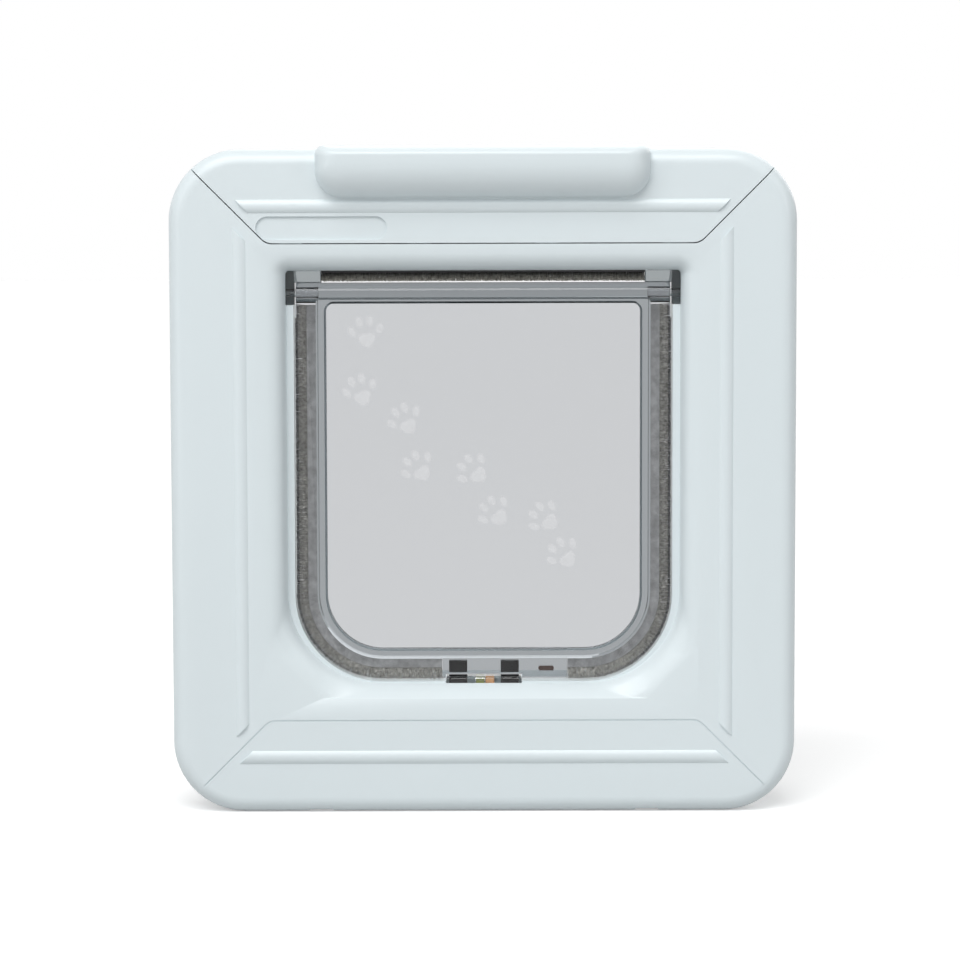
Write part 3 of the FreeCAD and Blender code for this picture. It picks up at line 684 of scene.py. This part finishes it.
def paw_print_arrays(width, relief):
    """Points and triangles of one print lying in the XZ plane: a pad and four toes.

    Each is a low dome, whose height is relief * sqrt(1 - r squared) at the share r of the way
    from its middle to its rim. Each toe is given by its place in pad widths and its turn."""
    toes = [(-0.60, 0.24, 0.4), (-0.22, 0.62, 0.12), (0.24, 0.62, -0.12), (0.62, 0.23, -0.4)]
    rings, segments = 4, 20
    radii = np.linspace(0, 1, rings + 1)[1:]
    height = np.sqrt(np.clip(1 - radii ** 2, 0, 1))
    points, faces = [], []
    for i in range(5):
        outline = paw_outline("pad" if i == 0 else "toe", segments)
        x0, z0, turn = (0.0, -0.16, 0.0) if i == 0 else toes[i - 1]
        c, s = math.cos(turn), math.sin(turn)
        outline = outline @ np.array([[c, s], [-s, c]])
        grid = radii[:, None, None] * outline[None]
        flat = np.zeros((rings, segments, 3))
        flat[..., 0] = (grid[..., 0] + x0) * width
        flat[..., 2] = (grid[..., 1] + z0) * width
        flat[..., 1] = -height[:, None] * relief
        start = sum(len(p) for p in points)
        middle = np.array([[x0 * width, -relief, z0 * width]])
        points.append(np.concatenate([middle, flat.reshape(-1, 3)]))
        k = np.arange(segments)
        nxt = (k + 1) % segments
        faces.append(np.stack([np.full(segments, start), start + 1 + k, start + 1 + nxt], axis=1))
        for ring in range(rings - 1):
            a = start + 1 + ring * segments + k
            b = start + 1 + ring * segments + nxt
            faces.append(np.stack([a, a + segments, b + segments], axis=1))
            faces.append(np.stack([a, b + segments, b], axis=1))
    return np.concatenate(points), np.concatenate(faces)


def screw_arrays(y0, y1, screws):
    """Points and triangles of one screw along Y, from its tip at y0 to its head's top at y1.

    It is a stack of rings. On the shank the radius at a height and angle falls by the thread's
    depth times a triangle wave of height / pitch + angle / turn. The depth fades out where the
    plain length begins, and the radius shrinks over the last 1.5 mm before the tip. The head's
    rings end in a round socket."""
    head, shank, height = screws.head_radius, screws.shank_radius, screws.head_height
    length = y1 - y0 - height
    turns = 24
    steps = int(length / (screws.pitch / 10))
    along = np.linspace(0, length, steps)
    angle = np.linspace(0, 2 * math.pi, turns, endpoint=False)
    phase = (along[:, None] / screws.pitch + angle[None, :] / (2 * math.pi)) % 1.0
    wave = 1.0 - np.abs(2 * phase - 1.0)
    fade = np.clip((length - screws.plain_length - along) / screws.pitch, 0, 1)
    tip = np.clip(along / (1.5 * MM), 0.25, 1)
    depth = screws.thread_depth * fade[:, None]
    radius = (shank - depth * (1 - wave)) * tip[:, None]
    head_rings = np.array([
        (0, shank), (0, head * 0.98), (0.2 * MM, head), (height * 0.45, head),
        (height * 0.8, head * 0.86), (height, head * 0.55), (height, 1.6 * MM),
        (height * 0.5, 1.3 * MM),
    ])
    heights = np.concatenate([along, length + head_rings[:, 0]])
    radii = np.concatenate([radius, np.tile(head_rings[:, 1:2], (1, turns))])
    levels = len(heights)
    points = np.zeros((levels, turns, 3))
    points[..., 0] = radii * np.cos(angle)
    points[..., 2] = radii * np.sin(angle)
    points[..., 1] = heights[:, None] + y0
    ends = np.array([[0, y0, 0], [0, y0 + heights[-1], 0]])
    points = np.concatenate([points.reshape(-1, 3), ends])
    k = np.arange(turns)
    nxt = (k + 1) % turns
    level = np.arange(levels - 1)[:, None] * turns
    quads = np.stack([level + k, level + turns + k, level + turns + nxt, level + nxt], axis=-1)
    quads = quads.reshape(-1, 4)
    first = len(points) - 2
    last = (levels - 1) * turns
    low_cap = np.stack([np.full(turns, first), k, nxt], axis=1)
    high_cap = np.stack([np.full(turns, first + 1), last + nxt, last + k], axis=1)
    triangles = np.concatenate([quads[:, [0, 1, 2]], quads[:, [0, 2, 3]], low_cap, high_cap])
    return points, triangles


class CATFLAP_OT_frames(bpy.types.Operator):
    """Finish the white frames, the top cover and the screw caps"""

    bl_idname = "catflap.frames"
    bl_label = "White frames"

    def execute(self, context):
        white = white_plastic()
        finished_copy("front_frame", "face_frame", white, FRAME_BEVEL)
        finished_copy("top_cover", "clipped_cover", white, FRAME_BEVEL)
        finished_copy("rear_frame", "inside_frame", white, FRAME_BEVEL)
        finished_copy("rear_sleeve", "inside_sleeve", white, FRAME_BEVEL)
        finished_copy("screw_caps", "push_in_caps", white, FRAME_BEVEL)
        return {"FINISHED"}


class CATFLAP_OT_clear(bpy.types.Operator):
    """Finish the clear flap, its hinge clips and the lock's carrier"""

    bl_idname = "catflap.clear"
    bl_label = "Clear mouldings"

    def execute(self, context):
        finish = settings("flap_finish")
        flap = clear_plastic("Clear flap", finish.clear_tint[:], 0.03, finish.clear_density)
        clip = clip_plastic()
        carrier = clear_plastic("Clear carrier", (0.93, 0.94, 0.94), 0.04, 15.0)
        finished_copy("flap", "swinging_flap", flap, FLAP_BEVEL)
        finished_copy("hinge_clip_left", "clip_left", clip, SMALL_BEVEL)
        finished_copy("hinge_clip_right", "clip_right", clip, SMALL_BEVEL)
        finished_copy("lock_carrier", "latch_carrier", carrier, SMALL_BEVEL)
        return {"FINISHED"}


class CATFLAP_OT_brushes(bpy.types.Operator):
    """Fill the brush seals with bristles"""

    bl_idname = "catflap.brushes"
    bl_label = "Brush seals"

    def execute(self, context):
        brush = settings("flap_brush")
        fibre = bristle_fibre()
        pale = strip_plastic("Pale brush strip", 0.62, 0.90)
        for side in ("left", "right"):
            self.side_strip(side, brush, fibre, pale)
        self.top_strip(brush, fibre)
        return {"FINISHED"}

    def side_strip(self, side, brush, fibre, pale):
        """Bristles that stand out from the flap's edge, and the strip that holds them."""
        path, outward, (y0, y1) = strip_path(side == "left")
        pile_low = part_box("flap_brush_pile_" + side)[0]
        root_low, root_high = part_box("flap_brush_backing_" + side)
        reach = root_low[2] - pile_low[2]
        inset = 0.1 * MM
        random = np.random.default_rng(SIDE_SEEDS[side])
        rows = (np.arange(brush.rows) + 0.5) / brush.rows
        across = y0 + (y1 - y0) * rows
        roots = np.zeros((len(path), brush.rows, 3))
        roots[..., 0] = path[:, None, 0]
        roots[..., 2] = path[:, None, 1]
        roots[..., 1] = across[None, :]
        roots = roots.reshape(-1, 3)
        ways = np.zeros((len(path), brush.rows, 3))
        ways[..., 0] = outward[:, None, 0]
        ways[..., 2] = outward[:, None, 1]
        ways = ways.reshape(-1, 3)
        roots += random.normal(0, brush.spacing / 3, roots.shape) * (1 - np.abs(ways))
        roots[:, 1] = np.clip(roots[:, 1], y0 + inset, y1 - inset)
        lengths = reach * random.uniform(0.94, 1.03, len(roots))
        # Beside a hinge clip they end short of it.
        clip_bottom = root_high[2] - 1.0 * MM
        short = np.minimum(lengths, 0.87 * reach)
        lengths = np.where(roots[:, 2] > clip_bottom, short, lengths)
        # Painted shade: the bristles darken to near black towards the tip, for the shadow in the
        # gap round the flap, and those that point down stay paler, as painted light from above.
        sideways = np.abs(ways[:, :1])
        shades = np.array([0.0, 0.05, 0.25, 1.0, 1.0]) + 0.2 * sideways
        shades = np.minimum(shades * (0.2 + 0.8 * sideways), 1.0)
        name = "bristles_" + side
        mesh = bristle_mesh(name, roots, ways, lengths, shades, SIDE_STRAY_SEED)
        piece = new_object(name, mesh)
        set_material(piece, fibre)
        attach(piece, "flap")
        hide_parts("flap_brush_pile_" + side)
        backing = finished_copy("flap_brush_backing_" + side, "backing_" + side, pale)
        raise_top(backing.data, brush.top_reach)

    def top_strip(self, brush, fibre):
        """Bristles that hang from the passage's ceiling to just over the hinge bar."""
        low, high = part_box("top_brush_pile")
        inset = 0.2 * MM
        random = np.random.default_rng(TOP_SEED)
        x = np.arange(low[0] + brush.spacing / 2, high[0], brush.spacing * 0.8)
        y = low[1] + (high[1] - low[1]) * (np.arange(brush.top_rows) + 0.5) / brush.top_rows
        roots = np.zeros((len(x), brush.top_rows, 3))
        roots[..., 0] = x[:, None]
        roots[..., 1] = y[None, :]
        roots[..., 2] = high[2]
        roots = roots.reshape(-1, 3)
        roots[:, :2] += random.normal(0, brush.spacing / 3, (len(roots), 2))
        roots[:, 0] = np.clip(roots[:, 0], low[0] + inset, high[0] - inset)
        roots[:, 1] = np.clip(roots[:, 1], low[1] + inset, high[1] - inset)
        ways = np.tile(np.array([0.0, 0.0, -1.0]), (len(roots), 1))
        lengths = (high[2] - low[2]) * random.uniform(0.80, 1.0, len(roots))
        shades = np.tile(np.array([1.0, 0.65, 0.4, 0.3, 0.25]), (len(roots), 1))
        mesh = bristle_mesh("bristles_top", roots, ways, lengths, shades, TOP_STRAY_SEED)
        piece = new_object("bristles_top", mesh)
        set_material(piece, fibre)
        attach(piece, "frame")
        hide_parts("top_brush_pile")
        black = strip_plastic("Black brush strip", 0.012, 0.03)
        set_material(frame["nodes"]["top_brush_backing"], black)


class CATFLAP_OT_paws(bpy.types.Operator):
    """Put the trail of paw prints on the window"""

    bl_idname = "catflap.paws"
    bl_label = "Paw prints"

    def execute(self, context):
        paws = settings("flap_paws")
        pane_front = HINGE[1] - 1.0 * MM
        one, triangles = paw_print_arrays(paws.pad_width, paws.relief)
        turn = np.radians(PAW_TRAIL[:, 2])
        c, s = np.cos(turn)[:, None], np.sin(turn)[:, None]
        points = np.zeros((len(PAW_TRAIL), len(one), 3))
        points[..., 0] = one[None, :, 0] * c - one[None, :, 2] * s + PAW_TRAIL[:, :1] * MM
        points[..., 2] = one[None, :, 0] * s + one[None, :, 2] * c + PAW_TRAIL[:, 1:2] * MM
        points[..., 1] = one[None, :, 1] + pane_front - 0.01 * MM
        faces = triangles[None] + (np.arange(len(PAW_TRAIL)) * len(one))[:, None, None]
        mesh = mesh_from_arrays("paw_prints", points.reshape(-1, 3), faces.reshape(-1, 3))
        mark_sharp(mesh, math.radians(60))
        piece = new_object("paw_prints", mesh)
        set_material(piece, paw_frost())
        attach(piece, "flap")
        return {"FINISHED"}


class CATFLAP_OT_lock(bpy.types.Operator):
    """Finish the magnets, the latches and the hinge pins"""

    bl_idname = "catflap.lock"
    bl_label = "Lock and magnets"

    def execute(self, context):
        finish = settings("flap_finish")
        magnet = magnet_coat()
        for node in ("flap_magnet_left", "flap_magnet_right", "sill_magnet_left",
                     "sill_magnet_right"):
            block = finished_copy(node, "black_" + node, magnet, FRAME_BEVEL)
            grow(block.data, MAGNET_RISE)
        green = tab_plastic("Green tab", finish.entry_colour[:])
        orange = tab_plastic("Orange tab", finish.exit_colour[:])
        finished_copy("entry_latch", "entry_tab", green, SMALL_BEVEL)
        finished_copy("exit_latch", "exit_tab", orange, SMALL_BEVEL)
        clip = clip_plastic()
        for node in ("pivot_pin_left", "pivot_pin_right"):
            finished_copy(node, "clear_" + node, clip, FLAP_BEVEL)
        # Painted shade: a dark brown fill gives the lip's slot its dark inside.
        fill = new_object("slot_shade_fill", slot_shade_mesh())
        set_material(fill, tab_plastic("Brown plug", (0.055, 0.035, 0.03)))
        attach(fill, "flap")
        return {"FINISHED"}


class CATFLAP_OT_screws(bpy.types.Operator):
    """Make the threaded clamp screws"""

    bl_idname = "catflap.screws"
    bl_label = "Clamp screws"

    def execute(self, context):
        screws = settings("flap_screws")
        low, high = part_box("clamp_screws")
        one, triangles = screw_arrays(low[1], high[1], screws)
        radius = screws.head_radius
        middle_x = np.array([low[0] + radius, high[0] - radius])
        middle_z = np.array([low[2] + radius, high[2] - radius])
        places = np.array([(x, 0.0, z) for x in middle_x for z in middle_z])
        points = places[:, None, :] + one[None]
        faces = triangles[None] + (np.arange(len(places)) * len(one))[:, None, None]
        mesh = mesh_from_arrays("threaded_screws", points.reshape(-1, 3), faces.reshape(-1, 3))
        mark_sharp(mesh, math.radians(40))
        piece = new_object("threaded_screws", mesh)
        set_material(piece, bright_steel())
        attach(piece, "frame")
        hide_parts("clamp_screws")
        return {"FINISHED"}


def floor_material():
    """Pale floor that shows white to the camera and keeps a soft shadow."""
    material, shader = new_material("Pale floor")
    tree = material.node_tree
    shader.inputs["Roughness"].default_value = 1.0
    shader.inputs["Specular IOR Level"].default_value = 0.0
    seen = tree.nodes.new("ShaderNodeLightPath")
    paler = tree.nodes.new("ShaderNodeMix")
    paler.data_type = "RGBA"
    paler.inputs["A"].default_value = (0.60, 0.60, 0.60, 1.0)
    paler.inputs["B"].default_value = (0.85, 0.85, 0.85, 1.0)
    tree.links.new(seen.outputs["Is Camera Ray"], paler.inputs["Factor"])
    tree.links.new(paler.outputs["Result"], shader.inputs["Base Color"])
    either = tree.nodes.new("ShaderNodeMath")
    either.operation = "MAXIMUM"
    tree.links.new(seen.outputs["Is Camera Ray"], either.inputs[0])
    tree.links.new(seen.outputs["Is Glossy Ray"], either.inputs[1])
    glow = tree.nodes.new("ShaderNodeMath")
    glow.operation = "MULTIPLY"
    glow.inputs[1].default_value = 0.38
    tree.links.new(either.outputs[0], glow.inputs[0])
    shader.inputs["Emission Color"].default_value = (1, 1, 1, 1)
    tree.links.new(glow.outputs[0], shader.inputs["Emission Strength"])
    even = tree.nodes.new("ShaderNodeEmission")
    swap = tree.nodes.new("ShaderNodeMixShader")
    tree.links.new(seen.outputs["Is Transmission Ray"], swap.inputs["Fac"])
    tree.links.new(shader.outputs["BSDF"], swap.inputs[1])
    tree.links.new(even.outputs["Emission"], swap.inputs[2])
    tree.links.new(swap.outputs["Shader"], tree.nodes["Material Output"].inputs["Surface"])
    return material


def area_light(name, place, aim, size, power):
    """Rectangular lamp of a size in metres and a power in watts, turned to its aim."""
    lamp = bpy.data.lights.new(name, "AREA")
    lamp.shape = "RECTANGLE"
    lamp.size, lamp.size_y = size
    lamp.energy = power
    light = bpy.data.objects.new(name, lamp)
    bpy.context.scene.collection.objects.link(light)
    light.location = place
    light.rotation_euler = (Vector(aim) - Vector(place)).to_track_quat("-Z", "Y").to_euler()


def sun_light(name, way, spread, strength):
    """Even light from the side that way points to, with soft shadows."""
    lamp = bpy.data.lights.new(name, "SUN")
    lamp.energy = strength
    lamp.angle = math.radians(spread)
    light = bpy.data.objects.new(name, lamp)
    bpy.context.scene.collection.objects.link(light)
    light.rotation_euler = (-Vector(way)).to_track_quat("-Z", "Y").to_euler()


def pale_world():
    """White background to camera, transmission and glossy rays, and dim to all others."""
    world = bpy.data.worlds.new("Pale world")
    world.use_nodes = True
    tree = world.node_tree
    back = tree.nodes["Background"]
    seen = tree.nodes.new("ShaderNodeLightPath")
    first = tree.nodes.new("ShaderNodeMath")
    first.operation = "MAXIMUM"
    second = tree.nodes.new("ShaderNodeMath")
    second.operation = "MAXIMUM"
    tree.links.new(seen.outputs["Is Camera Ray"], first.inputs[0])
    tree.links.new(seen.outputs["Is Transmission Ray"], first.inputs[1])
    tree.links.new(first.outputs[0], second.inputs[0])
    tree.links.new(seen.outputs["Is Glossy Ray"], second.inputs[1])
    strength = tree.nodes.new("ShaderNodeMapRange")
    strength.inputs["To Min"].default_value = 0.27
    strength.inputs["To Max"].default_value = 1.0
    tree.links.new(second.outputs[0], strength.inputs["Value"])
    back.inputs["Color"].default_value = (1, 1, 1, 1)
    tree.links.new(strength.outputs["Result"], back.inputs["Strength"])
    return world


class CATFLAP_OT_stage(bpy.types.Operator):
    """Set the floor, the lights and the camera"""

    bl_idname = "catflap.stage"
    bl_label = "Stage"

    def execute(self, context):
        stage = settings("flap_stage")
        scene = context.scene
        half = 6.0
        points = np.array([(-half, -half, 0), (half, -half, 0), (half, half, 0), (-half, half, 0)])
        floor = new_object("floor", mesh_from_arrays("floor", points, np.array([[0, 1, 2, 3]])))
        set_material(floor, floor_material())

        scene.world = pale_world()
        sun_light("Key", (-0.35, -1.0, 1.05), 45.0, 1.52)
        sun_light("Back", (0.5, 1.0, 0.8), 60.0, 0.8)
        area_light("Soft top", (-0.15, -0.55, 1.15), (0, 0, 0.1), (1.2, 0.35), 4.2)
        area_light("Left strip", (-1.1, -0.75, 0.45), (0, 0, 0.12), (0.22, 1.1), 1.6)
        area_light("Right strip", (1.1, -0.75, 0.45), (0, 0, 0.12), (0.22, 1.1), 1.6)

        camera = bpy.data.cameras.new("Camera")
        camera.lens = stage.lens
        camera.sensor_width = 36.0
        eye = bpy.data.objects.new("Camera", camera)
        scene.collection.objects.link(eye)
        tilt = stage.elevation
        target = np.array([stage.target_x, cad_box[0][1], stage.target_z])
        eye.location = target + stage.distance * np.array([0, -math.cos(tilt), math.sin(tilt)])
        eye.rotation_euler = (math.pi / 2 - tilt, stage.roll, 0)
        scene.camera = eye
        scene.view_settings.view_transform = "Standard"
        return {"FINISHED"}


OPERATORS = (
    CATFLAP_OT_frames, CATFLAP_OT_clear, CATFLAP_OT_brushes, CATFLAP_OT_paws,
    CATFLAP_OT_lock, CATFLAP_OT_screws, CATFLAP_OT_stage,
)


class CATFLAP_PT_panel(bpy.types.Panel):
    """Lists the pieces of the cat flap"""

    bl_label = "Cat flap"
    bl_idname = "CATFLAP_PT_panel"
    bl_space_type = "VIEW_3D"
    bl_region_type = "UI"
    bl_category = "Cat flap"

    def draw(self, context):
        for name, group in SETTING_GROUPS.items():
            block = self.layout.box()
            for key in group.__annotations__:
                block.prop(getattr(context.scene, name), key)
        for operator in OPERATORS:
            self.layout.operator(operator.bl_idname)


def register():
    """Register every class and give the scene its settings."""
    for group in SETTING_GROUPS.values():
        bpy.utils.register_class(group)
    for name, group in SETTING_GROUPS.items():
        setattr(bpy.types.Scene, name, PointerProperty(type=group))
    for cls in OPERATORS + (CATFLAP_PT_panel,):
        bpy.utils.register_class(cls)


def unregister():
    """Undo register, in reverse."""
    for cls in reversed(OPERATORS + (CATFLAP_PT_panel,)):
        bpy.utils.unregister_class(cls)
    for name, group in SETTING_GROUPS.items():
        delattr(bpy.types.Scene, name)
        bpy.utils.unregister_class(group)


def main():
    """Build every piece and the stage in order."""
    register()
    for operator in OPERATORS:
        group, name = operator.bl_idname.split(".")
        getattr(getattr(bpy.ops, group), name)()


if __name__ == "__main__":
    main()
